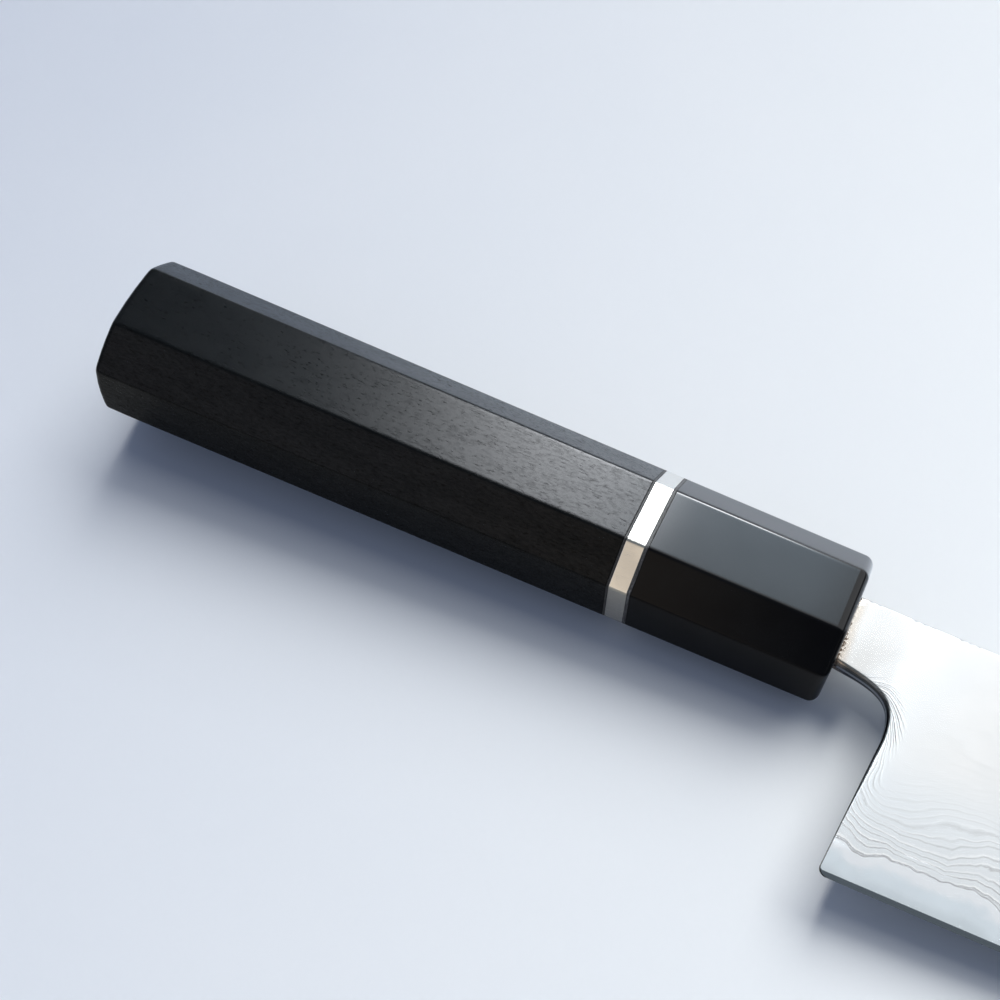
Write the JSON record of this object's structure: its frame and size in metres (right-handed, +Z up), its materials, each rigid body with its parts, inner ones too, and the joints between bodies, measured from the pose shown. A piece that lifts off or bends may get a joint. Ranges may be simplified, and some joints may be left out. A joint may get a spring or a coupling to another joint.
{
  "type": "santoku knife",
  "caption": "Santoku kitchen knife with a wide laminated blade, curved choil and tapered octagonal wooden handle with metal ring and horn ferrule, lying on its side.",
  "frame": {"origin": "centre of the knife's bounding box on the surface it lies on", "axes": "+X towards the tip, +Y towards the spine, +Z up, out of the right face of the blade"},
  "size_m": [0.3152, 0.0522, 0.0297],
  "materials": {
    "ebony": "oiled satin",
    "dark_liner": "sanded fibre",
    "nickel_silver": "polished",
    "grey_liner": "sanded fibre",
    "black_horn": "polished",
    "resin": "satin",
    "dowel_wood": "raw",
    "patterned_steel": "fine ground and lightly etched",
    "core_steel": "fine ground"
  },
  "bodies": {
    "root": {"handle_body": "ebony", "rear_liner": "dark_liner", "spacer_ring": "nickel_silver", "front_liner": "grey_liner", "horn_ferrule": "black_horn", "mouth_seal": "resin", "dowel": "dowel_wood", "right_cladding": "patterned_steel", "left_cladding": "patterned_steel", "blade_core": "core_steel"}
  },
  "joints": []
}
